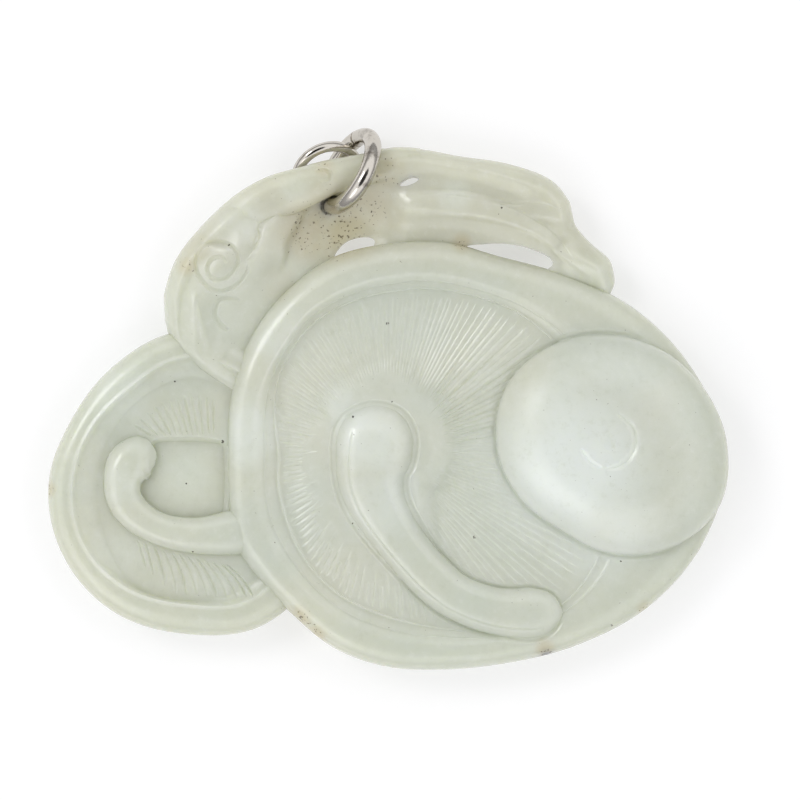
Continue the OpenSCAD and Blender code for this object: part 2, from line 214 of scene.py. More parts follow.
def stroke(bm, surface, path, half_width, depth, round_bottom=False, run_out=5.0):
    """Adds to bm one stroke of the wheel along path, points in plan: a wedge, or a round-bottomed
    channel, that follows the surface and runs out at its ends."""
    lift = 0.03  # how far the tool's edges stand over the surface
    ridge = 0.3  # and its back, so that no thin sheet is left over the cut
    least = 0.01
    last = len(path) - 1
    corners = (-1.0, -0.7, -0.35, 0.0, 0.35, 0.7, 1.0) if round_bottom else (-1.0, 0.0, 1.0)
    stations = []
    for k, (x, y) in enumerate(path):
        before, after = path[max(k - 1, 0)], path[min(k + 1, last)]
        across = Vector((before[1] - after[1], after[0] - before[0])).normalized()
        size = 1 - abs(2 * k / last - 1) ** run_out
        sink = depth * size - least
        wide = half_width[k] if isinstance(half_width, list) else half_width
        if round_bottom:
            top = wide * math.sqrt(max(sink + lift, least) / depth)
        else:
            top = wide * (sink + lift) / depth
        points = []
        for c in corners:
            px, py = x + across.x * c * top, y + across.y * c * top
            edge = abs(c) ** 2 if round_bottom else abs(c)
            points.append(Vector((px, py, surface.height(px, py) + mix(-sink, lift, edge))))
        points.append(Vector((x, y, surface.height(x, y) + ridge)))
        stations.append(points)
    skin(bm, len(corners) + 1, last, lambda i, k: stations[k][i])


def cut_line(body, name, surface, path, half_width, depth, **shape):
    """Cuts a single stroke of the wheel into body."""
    wheel = bmesh.new()
    stroke(wheel, surface, path, half_width, depth, **shape)
    carve(body, [solid(name, wheel)])


def at_bearing(radius, bearing, z=0.0, middle=CAP_MIDDLE):
    """A point by its distance and bearing, in degrees, from a middle."""
    turn = math.radians(bearing)
    return Vector((middle.x + radius * math.cos(turn), middle.y + radius * math.sin(turn), z))


def bead(t):
    """A rounded ridge of height 1 that has died out by t = 2."""
    return math.exp(-t * t)


def cap_profile(row, floor, hub, edge, back, sharp_crest):
    """One side of a gilled cap from its middle, over the rim and in along the back."""
    outline, crest, gills_to, gills_from, crest_high = row
    radii = [gills_from * k / HUB_STATIONS for k in range(HUB_STATIONS)]
    radii += [mix(gills_from, gills_to, k / GILL_STATIONS) for k in range(GILL_STATIONS)]
    profile = []
    for radius in radii:
        fall = eased((radius / gills_from - 0.6) / 0.7)
        profile.append((radius, floor + (hub - floor) * (1 - fall)))
    for t in COVE_STATIONS:
        radius = mix(gills_to, crest, t)
        z = mix(floor, crest_high, t ** 1.5 if sharp_crest else eased(t))
        if sharp_crest:
            z += 0.1 * bead((radius - crest) / 0.22)
        else:
            z += 0.08 * bead((t - 0.04) / 0.03) + 0.06 * bead((t - 0.47) / 0.03)
        profile.append((radius, z))
    for t in RIM_STATIONS:
        radius = mix(crest, outline, t)
        z = mix(edge, crest_high, (1 - t ** 3) ** (1 / 3))
        if sharp_crest:
            z += 0.1 * bead((radius - crest) / 0.22)
        profile.append((radius, z))
    for k in range(9):
        turn = k / 8 * math.pi / 2
        share = mix(FLAT_SHARE, 1.0, math.cos(turn) ** 0.8)
        profile.append((outline * share, mix(edge, back, math.sin(turn))))
    profile += [(outline * FLAT_SHARE * 0.5, back), (0.0, back)]
    return profile


def cap_form(name, table, middle, columns, seed, **heights):
    """A gilled cap, not yet cut, with the profile of each bearing laid round its middle."""
    step = len(table) / 360
    profiles = [
        cap_profile(row_at(table, i * 360 / columns * step, closed=True), **heights)
        for i in range(columns)
    ]

    def place(i, k):
        radius, z = profiles[i][k]
        point = at_bearing(radius, i * 360 / columns, z, middle)
        if z > heights["edge"]:
            point.z += uneven(point.x, point.y, seed)
        return point

    return skinned(name, columns, len(profiles[0]) - 1, place)


large_cap = cap_form(
    "large_cap", LARGE_CAP, CAP_MIDDLE, 288, 1.0,
    floor=CAP_FLOOR, hub=CAP_HUB, edge=CAP_EDGE, back=0.0, sharp_crest=False,
)
cap_surface = Surface(large_cap)
# Every other gill is cut in a second round, so that no two strokes of one round touch
gill_wheels = [bmesh.new(), bmesh.new()]
stations = 14
bearing, gill = 0.0, 0
while bearing < 359.0:
    gills_to, gills_from = row_at(LARGE_CAP, bearing / CAP_STEP, closed=True)[2:4]
    pitch, half_width, depth = row_at(GILL_STROKES, bearing / GILL_STEP, closed=True)
    start = gills_from + random.uniform(-0.5, 0.4)
    stop = gills_to - random.uniform(-0.05, 0.5)
    lean = random.uniform(-0.5, 0.5)
    radii = [mix(start, stop, k / stations) for k in range(stations + 1)]
    path = [at_bearing(r, bearing + lean * k / stations).xy for k, r in enumerate(radii)]
    strength = random.uniform(0.7, 1.15)
    wide = [min(half_width * strength, GILL_ROOM * math.radians(pitch) * r) for r in radii]
    stroke(gill_wheels[gill % 2], cap_surface, path, wide, depth * strength)
    bearing += pitch * random.uniform(0.9, 1.1)
    gill += 1
for wheel in gill_wheels:
    carve(large_cap, [solid("gill_wheel", wheel)])


# Main stem
# The large cap's stem, a comma left standing on the floor: a round head at the hub and a tail
# that curls round under the young cap. A fine channel is cut all round its foot.
# From the head to the tail: x, y, half width, height of the crest
MAIN_STEM = [
    (-0.75, -0.3, 0.4, 5.6),
    (-0.77, -0.65, 1.55, 6.0),
    (-0.82, -1.5, 2.7, 6.5),
    (-0.95, -2.9, 3.45, 6.95),
    (-1.15, -4.7, 3.6, 7.1),
    (-1.4, -6.8, 3.2, 7.05),
    (-0.9, -9.1, 2.8, 6.9),
    (0.5, -11.6, 2.4, 6.8),
    (2.3, -14.0, 2.15, 6.7),
    (4.2, -16.0, 2.1, 6.6),
    (6.2, -17.5, 2.05, 6.5),
    (8.7, -18.5, 2.1, 6.5),
    (10.9, -18.9, 2.2, 6.5),
    (12.7, -18.9, 2.3, 6.4),
    (14.2, -18.8, 1.9, 6.2),
    (15.1, -18.75, 1.1, 5.9),
    (15.5, -18.7, 0.2, 5.6),
]
FOOT_DEPTH = 1.2  # how far a stem's form goes down into the floor
STEM_WIDEST = 0.8  # height over its foot at which a stem is widest
STEM_ROUND = 0.75  # 1 for a round back, less for a fuller one
FOOT_PLACE = 1.04  # where the foot's channel runs, in half widths from the stem's middle
LIP_PLACE = -0.6  # and where the fine line along its back runs


def stem_side(table, place, side):
    """A point in plan on a stem, with side from -1, its right edge, to 1, its left one."""
    x, y, half_width = row_at(table, place)[:3]
    ahead, behind = row_at(table, place + 0.05), row_at(table, place - 0.05)
    along = Vector((ahead[0] - behind[0], ahead[1] - behind[1])).normalized()
    return Vector((x - along.y * side * half_width, y + along.x * side * half_width))


def stem_form(name, table, low, seed, around=44, along=96):
    """A stem with a round back, swept through the rows of its table, with its ends drawn in."""
    rows = len(table) - 1
    widest = low + STEM_WIDEST

    def place(i, k):
        where = rows * k / along
        if k in (0, along):
            return Vector((*stem_side(table, where, 0.0), widest))
        turn = 2 * math.pi * i / around
        across, up = math.cos(turn), math.sin(turn)
        point = stem_side(table, where, math.copysign(abs(across) ** STEM_ROUND, across))
        top = row_at(table, where)[3] + uneven(point.x, point.y, seed)
        z = mix(widest, top, up ** STEM_ROUND) if up > 0 else mix(widest, low, -up)
        return Vector((point.x, point.y, z))

    return skinned(name, around, along, place)


def along_stem(first, last, side, steps=60):
    """Points in plan along the main stem, between two places in its table."""
    return [stem_side(MAIN_STEM, mix(first, last, k / steps), side) for k in range(steps + 1)]


main_stem = stem_form("main_stem", MAIN_STEM, CAP_FLOOR - FOOT_DEPTH, 2.0)
last_row = len(MAIN_STEM) - 1
foot = along_stem(last_row - 0.6, 0.6, -FOOT_PLACE)
foot += [stem_side(MAIN_STEM, 0.3, side) for side in (-1.0, -0.5, 0.0, 0.5, 1.0)]
foot += along_stem(0.6, last_row - 0.6, FOOT_PLACE)
cut_line(large_cap, "foot_wheel", cap_surface, foot, 0.3, 0.1, round_bottom=True, run_out=40)
lip = along_stem(3.0, last_row - 2.0, LIP_PLACE)
cut_line(main_stem, "lip_wheel", Surface(main_stem), lip, 0.14, 0.07)


# Young cap
# The unopened mushroom: a smooth, low dome of egg-shaped plan that overhangs the floor, with a
# small nipple set off by a curved cut. Its wall is cut down plumb to the large cap.
YOUNG_MIDDLE = Vector((19.7, -4.2, 0.0))
YOUNG_STEP = 30  # degrees between the radii of the next table
# Outline radius
YOUNG_CAP = [
    (10.25,), (9.65,), (9.6,), (9.85,), (10.3,), (10.6,),
    (10.05,), (9.2,), (8.6,), (9.45,), (10.4,), (10.9,),
]
# From the middle outwards: share of the radius, height
DOME = [
    (0.0, 8.6), (0.12, 8.6), (0.3, 8.54), (0.5, 8.36), (0.68, 8.0), (0.82, 7.45),
    (0.91, 6.9), (0.965, 6.4), (0.99, 5.95), (1.0, 5.4), (0.985, 4.4), (0.93, 1.7), (0.0, 1.5),
]
NIPPLE_MIDDLE = Vector((19.4, -3.7, 0.0))
NIPPLE_RADIUS = 2.42
NIPPLE_RISE = 0.12
DIMPLE_RADIUS = 0.9
DIMPLE_DEPTH = 0.1
# Cuts that set the nipple off: first and last bearing, half width, depth
NIPPLE_CUTS = [
    (-100, 75, 0.36, 0.18),
    (195, 258, 0.28, 0.12),
]
DOME_FOOT = (70, 306)  # bearings between which a channel is cut round the dome's foot


def young_edge(bearing, share=1.0):
    """A point on the young cap's outline, or at a share of the way out to it."""
    (radius,) = row_at(YOUNG_CAP, (bearing % 360) / YOUNG_STEP, closed=True)
    return at_bearing(radius * share, bearing, 0.0, YOUNG_MIDDLE)


def young_form(around=160, along=72):
    def place(i, k):
        share, z = row_at(DOME, (len(DOME) - 1) * k / along)
        share = 0.0 if k in (0, along) else max(share, 0.0)
        point = young_edge(i * 360 / around, share)
        middle = (point.xy - NIPPLE_MIDDLE.xy).length
        if z > 6:
            rise = NIPPLE_RISE * (1 - eased(middle / NIPPLE_RADIUS))
            z += rise - DIMPLE_DEPTH * (1 - eased(middle / DIMPLE_RADIUS))
            z += uneven(point.x, point.y, 3.0, 5.0)
        return Vector((point.x, point.y, z))

    return skinned("young_cap", around, along, place)


young_cap = young_form()
young_surface = Surface(young_cap)
nipple_wheel = bmesh.new()
for first, last, half_width, depth in NIPPLE_CUTS:
    bearings = [mix(first, last, k / 40) for k in range(41)]
    arc = [at_bearing(NIPPLE_RADIUS, b, 0.0, NIPPLE_MIDDLE).xy for b in bearings]
    stroke(nipple_wheel, young_surface, arc, half_width, depth)
carve(young_cap, [solid("nipple_wheel", nipple_wheel)])
dome_foot = [young_edge(mix(*DOME_FOOT, k / 140), 1.02).xy for k in range(141)]
cut_line(large_cap, "dome_wheel", cap_surface, dome_foot, 0.32, 0.09, round_bottom=True, run_out=12)


# Small cap
# The second open mushroom, lower and to the left, partly under the large cap's rim. Its stem
# curls round a sunk pit with a matt floor, and two fans of coarse strokes are its gills.
SMALL_MIDDLE = Vector((-17.8, -7.6, 0.0))
SMALL_FLOOR = 4.75
SMALL_BACK = 0.6  # height of its back, which the table doesn't touch
PIT_FLOOR = 4.3
PIT_FLARE = 0.9  # how far the pit's wall leans out for each unit that it rises
# Every 30 degrees, in the same columns as the large cap
SMALL_CAP = [
    (11.5, 9.6, 7.6, 4.6, 5.10),
    (12.0, 10.2, 8.2, 4.8, 5.22),
    (13.2, 11.0, 9.0, 4.2, 5.34),
    (13.6, 11.2, 9.2, 4.2, 5.46),
    (12.3, 9.8, 8.4, 5.4, 5.58),
    (11.6, 9.6, 7.8, 6.6, 5.58),
    (12.1, 9.9, 7.8, 6.6, 5.52),
    (12.5, 10.3, 8.2, 6.6, 5.46),
    (12.9, 10.4, 9.8, 5.8, 5.40),
    (13.2, 10.5, 10.2, 5.9, 5.34),
    (14.2, 11.6, 10.4, 6.2, 5.22),
    (13.6, 11.0, 9.6, 5.4, 5.10),
]
# Corners of the pit in plan
PIT = [(-20.4, -4.0), (-17.8, -3.8), (-15.4, -3.9), (-14.5, -4.3), (-14.4, -6.0), (-14.4, -8.4),
       (-14.7, -10.2), (-16.4, -10.8), (-19.2, -10.6), (-21.2, -9.2), (-21.7, -7.8), (-20.9, -5.9)]
# Small stem from the curl's tip to the large cap: x, y, half width, height of the crest
SMALL_STEM = [
    (-20.3, -4.95, 0.3, 4.9),
    (-20.6, -4.98, 1.0, 5.2),
    (-21.2, -5.05, 1.75, 5.6),
    (-22.1, -5.35, 2.05, 5.85),
    (-22.9, -6.1, 2.0, 5.95),
    (-23.3, -7.3, 1.7, 5.95),
    (-23.2, -8.7, 1.6, 5.85),
    (-22.4, -10.0, 1.55, 5.8),
    (-20.9, -11.1, 1.45, 5.75),
    (-19.0, -11.8, 1.5, 5.75),
    (-16.5, -12.1, 1.65, 5.8),
    (-13.5, -11.8, 2.0, 5.85),
    (-11.0, -11.2, 2.1, 5.5),
]
# The two fans of gills, each as rows of where a stroke starts, bends and ends: x, y three times
UPPER_FAN = [
    (-22.3, -2.3, -21.4, -2.9, -20.5, -3.4),
    (-21.3, -1.2, -20.4, -2.3, -19.5, -3.4),
    (-20.1, -0.4, -19.3, -1.9, -18.6, -3.4),
    (-18.9, 0.1, -18.3, -1.7, -17.7, -3.4),
    (-17.7, 0.4, -17.3, -1.6, -16.9, -3.4),
    (-16.5, 0.4, -16.3, -1.5, -16.1, -3.4),
    (-15.3, 0.1, -15.3, -1.5, -15.3, -3.1),
]
LOWER_FAN = [
    (-22.0, -12.4, -21.6, -13.6, -21.3, -14.9),
    (-20.0, -13.2, -19.2, -15.0, -18.8, -17.2),
    (-18.0, -13.7, -16.9, -15.5, -16.3, -17.6),
    (-16.1, -14.1, -14.7, -15.8, -13.9, -17.7),
    (-14.3, -14.5, -12.8, -15.9, -11.7, -17.6),
]
FAN_ROOM = 0.36  # share of the way to the next stroke that a half width may take


def plan_column(name, points, z_low=-1.0, z_high=12.0, around=72, flare=0.0):
    """An upright column whose plan is a smooth closed curve through the points. It goes right
    through the stone unless it is given less, and may flare out towards its top."""
    count = len(points)
    outline = [Vector(row_at(points, i / around * count, closed=True)) for i in range(around)]
    middle = sum(outline, Vector((0, 0))) / around

    def place(i, k):
        out = (outline[i] - middle).normalized() * flare * (z_high - z_low) * k
        return Vector((*(outline[i] + out), z_high if k else z_low))

    return skinned(name, around, 1, place)


def fan_strokes(surface, fan, count, half_width, depth):
    """The strokes of one fan of gills, spread evenly through its rows, none of them touching."""
    paths = []
    for n in range(count):
        row = row_at(fan, (len(fan) - 1) * n / (count - 1))
        start, bend, end = (Vector(row[k:k + 2]) for k in (0, 2, 4))
        path = []
        for t in (k / 12 for k in range(13)):
            bent = start * (1 - t) * (1 - 2 * t) + bend * 4 * t * (1 - t)
            path.append(bent + end * t * (2 * t - 1))
        paths.append(path)
    wheel = bmesh.new()
    for n, path in enumerate(paths):
        size = random.uniform(0.8, 1.1)
        beside = [p for other in paths[max(n - 1, 0):n] + paths[n + 1:n + 2] for p in other]
        room = [FAN_ROOM * min((p - q).length for q in beside) for p in path]
        stroke(wheel, surface, path, [min(half_width * size, r) for r in room], depth * size)
    return solid("fan_wheel", wheel)


small_cap = cap_form(
    "small_cap", SMALL_CAP, SMALL_MIDDLE, 192, 4.0,
    floor=SMALL_FLOOR, hub=SMALL_FLOOR, edge=CAP_EDGE, back=SMALL_BACK, sharp_crest=True,
)
small_surface = Surface(small_cap)
carve(small_cap, [fan_strokes(small_surface, UPPER_FAN, 12, 0.25, 0.16)])
carve(small_cap, [fan_strokes(small_surface, LOWER_FAN, 12, 0.3, 0.18)])
carve(small_cap, [plan_column("pit", PIT, PIT_FLOOR, 5.8, flare=PIT_FLARE)])
small_stem = stem_form("small_stem", SMALL_STEM, PIT_FLOOR - 0.8, 5.0)


# Crown of leaves
# Overlapping leaves round the top of the large cap, with a scroll and a hook cut in the left
# one and rolled folds in the right ones. Brown skin of the pebble stays in the hollow between.
CROWN_BACK = 0.9  # height of the leaves' back
CROWN_EDGE = 3.0  # height at which their outline is widest
CROWN_FLAT = 0.72  # how much of their breadth the flat of the back takes
CROWN_LAP = 2  # how far they run in under the large cap's outline
# Laid round the large cap: bearing, outline radius, then the height of the surface at each
# fifth of the breadth from the large cap's edge outwards
CROWN = [
    (35, 23.9, 4.0, 4.1, 4.2, 4.2, 3.9),
    (36.5, 24.9, 4.2, 4.3, 4.5, 4.5, 4.1),
    (38.6, 25.5, 4.2, 4.4, 4.7, 4.8, 4.4),
    (41, 25.9, 4.3, 4.6, 5.0, 5.2, 4.8),
    (46, 25.7, 4.4, 4.6, 4.9, 5.0, 4.6),
    (50.5, 26.0, 4.4, 4.7, 4.7, 4.6, 4.6),
    (54, 27.3, 4.4, 4.8, 5.1, 5.0, 5.2),
    (59, 28.0, 4.4, 4.6, 5.1, 5.0, 5.2),
    (67, 27.6, 4.3, 4.5, 5.1, 5.0, 5.2),
    (76, 26.9, 4.3, 4.5, 5.1, 5.0, 5.2),
    (85, 26.9, 4.2, 4.4, 5.1, 5.0, 5.2),
    (92, 26.8, 3.6, 3.5, 3.9, 4.5, 5.1),
    (98, 26.8, 3.3, 3.1, 3.3, 4.2, 5.2),
    (105, 26.7, 3.3, 3.1, 3.2, 4.3, 5.3),
    (111, 26.2, 3.9, 3.9, 4.3, 5.0, 5.0),
    (117, 26.5, 4.4, 4.8, 5.6, 5.9, 5.7),
    (124, 26.2, 4.6, 5.0, 6.1, 6.4, 6.1),
    (131, 25.8, 4.7, 5.1, 5.9, 6.2, 5.9),
    (138, 25.3, 4.8, 5.2, 5.8, 6.1, 5.8),
    (145, 24.2, 4.9, 5.2, 5.7, 6.0, 5.6),
    (149.5, 22.9, 5.0, 5.3, 5.7, 5.9, 5.5),
    (152, 22.0, 5.0, 5.3, 5.7, 5.9, 5.6),
    (154, 20.8, 5.1, 5.4, 5.7, 5.9, 5.6),
    (155.6, 19.6, 5.2, 5.4, 5.5, 5.5, 5.3),
    (156.7, 18.0, 5.1, 5.2, 5.2, 5.2, 5.1),
    (158, 16.2, 5.0, 5.0, 5.0, 4.9, 4.8),
    (159.5, 14.8, 4.8, 4.8, 4.7, 4.7, 4.6),
]
# Folds, rolls and channels of the leaves, each a line in plan with what it adds on its left
# side and how far that reaches, then the same on its right side
LEAF_LINES = [
    # crease down the left leaf
    ([(-8.2, 17.9), (-9.0, 17.1), (-10.0, 16.2), (-10.8, 15.4), (-11.1, 14.5), (-11.4, 13.6),
      (-11.7, 12.8), (-12.2, 12.1)], 0.3, 1.6, -0.12, 1.0),
    # border of the brown hollow
    ([(-6.6, 16.9), (-7.5, 16.2), (-8.1, 15.0), (-8.8, 13.7), (-9.0, 12.4), (-9.6, 10.8)],
     -0.35, 1.3, 0.15, 0.8),
    # rolled edge of the left leaf
    ([(-12.5, 16.9), (-15.1, 14.4), (-16.2, 13.4), (-17.0, 12.5), (-17.5, 11.6), (-18.0, 10.4),
      (-18.4, 9.0), (-18.2, 7.4), (-17.6, 6.0)], -0.04, 0.9, 0.04, 0.7),
    # top edge of the scroll
    ([(-17.1, 12.4), (-16.4, 13.3), (-15.9, 13.6), (-14.8, 13.4), (-13.8, 13.2), (-13.0, 12.8)],
     -0.12, 0.8, 0.2, 1.0),
    # ridge in the lower part of the left leaf
    ([(-16.8, 9.4), (-16.7, 8.0), (-16.5, 6.8), (-16.1, 5.3), (-15.5, 3.8)], -0.1, 1.2, 0.08, 1.0),
    # roll along the top of the right leaf, and the channel below it
    ([(1.5, 21.0), (2.9, 21.0), (4.2, 20.85), (6.1, 20.5), (8.4, 20.0), (9.9, 19.6), (11.4, 19.1),
      (12.9, 18.4), (14.0, 17.6)], 0.26, 0.55, 0.2, 0.7),
    ([(-0.5, 19.0), (2.0, 19.5), (5.0, 19.6), (8.0, 19.0), (11.0, 18.1), (13.2, 17.2)],
     -0.16, 0.9, -0.16, 1.0),
    ([(1.0, 17.6), (2.3, 18.0), (4.2, 18.2), (6.1, 18.2), (7.6, 18.0), (9.1, 17.5), (10.1, 17.3),
      (11.4, 17.0), (12.6, 16.9)], -0.1, 0.5, 0.06, 0.9),
    # second roll and the crease under it, down to the lobe
    ([(0.2, 17.4), (1.3, 17.2), (4.6, 16.85), (6.7, 16.9), (8.4, 16.7), (10.7, 16.1), (12.6, 15.0)],
     0.08, 0.9, 0.08, 0.9),
    ([(0.6, 16.1), (4.6, 16.1), (6.9, 16.0), (8.4, 15.8), (10.7, 15.3), (12.9, 14.5), (14.3, 13.5),
      (15.6, 12.3), (16.7, 11.5), (18.2, 10.2)], 0.08, 0.9, -0.14, 1.3),
    # crease between the right leaf and its lobe, and the lobe's rolled edge
    ([(16.4, 15.3), (15.0, 15.6), (13.6, 15.9), (12.4, 16.0)], -0.08, 0.7, 0.08, 0.7),
    ([(17.0, 14.4), (18.3, 13.2), (19.0, 12.0), (19.1, 10.9)], 0.1, 0.5, 0.1, 0.5),
]
FOLD_WIDTH = 0.5  # breadth of the slope at a crease
EDGE_ROUND = 1.5  # breadth of the leaves' rounded outer edge
LINE_FADE = 3.5  # a line has its full strength one part in so many from its ends
SCROLL_MIDDLE = Vector((-14.7, 11.5, 0.0))
SCROLL_REACH = 3.0
SCROLL_SWELL = 0.22  # how far the leaf swells under the scroll
# The scroll from its outer end inwards, clockwise: bearing, radius
SCROLL = [
    (12, 2.6), (-45, 2.1), (-100, 2.05), (-150, 1.95), (-215, 2.35), (-265, 2.3), (-320, 2.0),
    (-370, 1.3), (-430, 1.05), (-500, 1.15), (-560, 1.05), (-640, 0.9), (-690, 0.7),
]
# The hook under the scroll, in plan
HOOK = [(-12.9, 8.7), (-14.0, 8.8), (-14.7, 8.6), (-15.1, 7.9), (-15.1, 7.2), (-14.7, 6.6),
        (-14.2, 6.2), (-13.8, 6.2)]
# Sharp lines of the wheel on the leaves: points in plan, half width, depth
CREASES = [
    ([(-8.4, 17.4), (-9.9, 16.4), (-11.1, 15.5), (-11.35, 14.9), (-11.3, 14.0), (-12.4, 12.0)],
     0.24, 0.1),
    ([(3.3, 21.0), (5.0, 20.7), (6.7, 20.3), (8.3, 19.9)], 0.22, 0.08),
    ([(9.9, 17.1), (12.4, 16.1), (14.8, 14.4), (16.6, 12.0)], 0.2, 0.07),
    ([(4.4, 18.0), (7.4, 17.7), (10.6, 17.2), (13.4, 17.2), (15.4, 16.7)], 0.22, 0.08),
]


def through(points, steps):
    """Evenly parted points on a smooth curve through the given ones."""
    return [Vector(row_at(points, (len(points) - 1) * k / steps)) for k in range(steps + 1)]


class Line:
    """A curve in plan that a form is shaped by. For a place it tells the distance, how far to
    the left of the curve, and a strength that fades at the curve's ends."""

    def __init__(self, points):
        self.points = through(points, 120)
        self.tree = KDTree(len(self.points))
        for k, p in enumerate(self.points):
            self.tree.insert((p.x, p.y, 0.0), k)
        self.tree.balance()

    def near(self, x, y):
        found, k, distance = self.tree.find((x, y, 0.0))
        a, b = self.points[max(k - 1, 0)], self.points[min(k + 1, len(self.points) - 1)]
        along = (b - a).normalized()
        aside = along.x * (y - found.y) - along.y * (x - found.x)
        t = k / (len(self.points) - 1)
        return distance, aside, eased(min(t, 1 - t) * LINE_FADE)


leaf_lines = [(Line(points), *sides) for points, *sides in LEAF_LINES]


def leaf_relief(x, y):
    """Height that the folds, rolls and channels of the leaves add at a place."""
    z = uneven(x, y, 6.0, 4.0)
    for line, left_rise, left_reach, right_rise, right_reach in leaf_lines:
        distance, aside, strength = line.near(x, y)
        if distance > 3 * max(left_reach, right_reach):
            continue
        left = left_rise * bead(distance / left_reach)
        right = right_rise * bead(distance / right_reach)
        z += strength * mix(right, left, eased(aside / FOLD_WIDTH + 0.5))
    away = (Vector((x, y)) - SCROLL_MIDDLE.xy).length
    return z + SCROLL_SWELL * (1 - eased(away / SCROLL_REACH))


def crown_section(bearing, top_faces=52, edge_faces=12, back_faces=6):
    """The leaves' section at a bearing: out over the top, round the edge and in along the back."""
    bearings = [row[0] for row in CROWN]
    n = max(j for j in range(len(CROWN) - 1) if bearings[j] <= bearing)
    row = row_at(CROWN, n + (bearing - bearings[n]) / (bearings[n + 1] - bearings[n]))
    heights = [(z,) for z in row[2:]]
    inner = row_at(LARGE_CAP, bearing / CAP_STEP, closed=True)[0] - CROWN_LAP
    outer = max(row[1], inner + 0.6)
    start = inner + 1.5  # where the five columns of heights begin
    points = []
    for j in range(top_faces + edge_faces + 1):
        turn = max(j - top_faces, 0) / edge_faces * math.pi / 2
        radius = mix(inner + 0.3, outer - EDGE_ROUND, min(j / top_faces, 1.0))
        radius += EDGE_ROUND * math.sin(turn)
        band = min((radius - start) / (outer - start), 1.0) * len(heights)
        (z,) = row_at(heights, min(max(band, 0.0), len(heights) - 1.0))
        point = at_bearing(radius, bearing)
        z += leaf_relief(point.x, point.y)
        rounding = max(1 - (outer - radius) / EDGE_ROUND, 0.0)
        point.z = mix(CROWN_EDGE, z, math.sqrt(1 - rounding ** 2))
        points.append(point)
    for j in range(1, back_faces + 1):
        turn = j / back_faces * math.pi / 2
        radius = mix(mix(inner, outer, CROWN_FLAT), outer, math.cos(turn))
        points.append(at_bearing(radius, bearing, mix(CROWN_EDGE, CROWN_BACK, math.sin(turn))))
    points.append(at_bearing(inner, bearing, CROWN_BACK + 0.9))
    return points


def crown_form(along=300):
    first, last = CROWN[0][0], CROWN[-1][0]
    sections = [crown_section(mix(first, last, k / along)) for k in range(along + 1)]
    return skinned("crown", len(sections[0]), along, lambda i, k: sections[k][i])


crown = crown_form()
crown_surface = Surface(crown)
scroll = []
for k in range(121):
    bearing, radius = row_at(SCROLL, (len(SCROLL) - 1) * k / 120)
    scroll.append(at_bearing(radius, bearing, 0.0, SCROLL_MIDDLE).xy)
cut_line(crown, "scroll_wheel", crown_surface, scroll, 0.24, 0.16, round_bottom=True, run_out=10)
cut_line(crown, "hook_wheel", crown_surface, through(HOOK, 40), 0.28, 0.15, round_bottom=True)
crease_wheel = bmesh.new()
for points, half_width, depth in CREASES:
    stroke(crease_wheel, crown_surface, through(points, 40), half_width, depth, run_out=3.0)
carve(crown, [solid("crease_wheel", crease_wheel)])


# Neck and openings
# The left leaf runs over to the right ones as a round bar, free behind, which the jump ring goes
# round. Three lens-shaped openings are pierced through the crown beside the large cap.
# Both rings: name, node, middle, radius, wire, bearing of the long axis, tilt, turn of the seam
RINGS = [
    ("jump_ring_wire", "jump_ring", (-3.27, 20.07, 4.0), 3.43, 1.5, 62, 65, 33),
    ("link_ring_wire", "link_ring", (-5.32, 19.98, 2.41), 2.83, 0.94, 27.9, -41.9, 175),
]
# Along the bar: x, y, height of its middle, half width, half depth
NECK = [
    (-14.0, 15.4, 4.3, 1.6, 1.2),
    (-12.0, 16.6, 4.85, 1.9, 1.3),
    (-9.8, 17.7, 4.9, 2.0, 1.3),
    (-7.6, 18.5, 5.1, 1.85, 1.2),
    (-5.3, 19.4, 4.7, 1.6, 1.35),
    (-3.5, 19.85, 4.3, 1.5, 1.3),
    (-1.6, 20.2, 4.0, 1.5, 1.25),
    (0.8, 20.6, 3.8, 1.6, 1.3),
    (3.0, 20.7, 3.6, 1.4, 1.2),
]
# The jump ring's room behind the neck: its plan on the outer side
RING_ROOM = [(-8.7, 24.0), (-9.0, 21.0), (-8.9, 18.3), (-7.0, 18.75), (-4.7, 19.6), (-2.4, 20.2),
             (-0.9, 20.7), (-0.6, 22.0), (-0.9, 24.0), (-4.7, 26.0)]
# and the slope under the neck: middle, turn, half length, then its section as how far out across
# the neck, height
UNDERCUT_MIDDLE = (-4.7, 19.5, 0.0)
UNDERCUT_TURN = 17.0
UNDERCUT_HALF = 4.2
UNDERCUT = [(6.0, -1.0), (6.0, 3.3), (0.3, 3.3), (-2.7, 1.2), (-2.7, -1.0)]
RING_SLACK = 0.18  # how much wider than the wire its path through the stone is
# A hooked nick in the neck beside the ring
NICK = [(-6.3, 20.0), (-5.6, 20.15), (-5.05, 19.9), (-5.1, 19.3), (-5.9, 19.15)]
# Corners of the openings in plan
OPENINGS = [
    [(-4.6, 12.4), (-4.2, 13.3), (-3.4, 13.95), (-2.3, 14.25), (-1.4, 14.2), (-1.1, 13.8),
     (-1.6, 12.6), (-3.2, 11.9)],
    [(1.1, 18.8), (1.6, 19.3), (2.3, 19.55), (2.8, 19.4), (2.5, 19.05), (1.7, 18.75)],
    [(7.0, 13.4), (8.6, 13.65), (10.2, 13.7), (11.8, 13.5), (13.1, 13.1), (14.2, 12.6),
     (14.65, 12.1), (14.4, 11.6), (12.6, 10.6), (10.0, 10.9), (7.9, 12.2)],
]


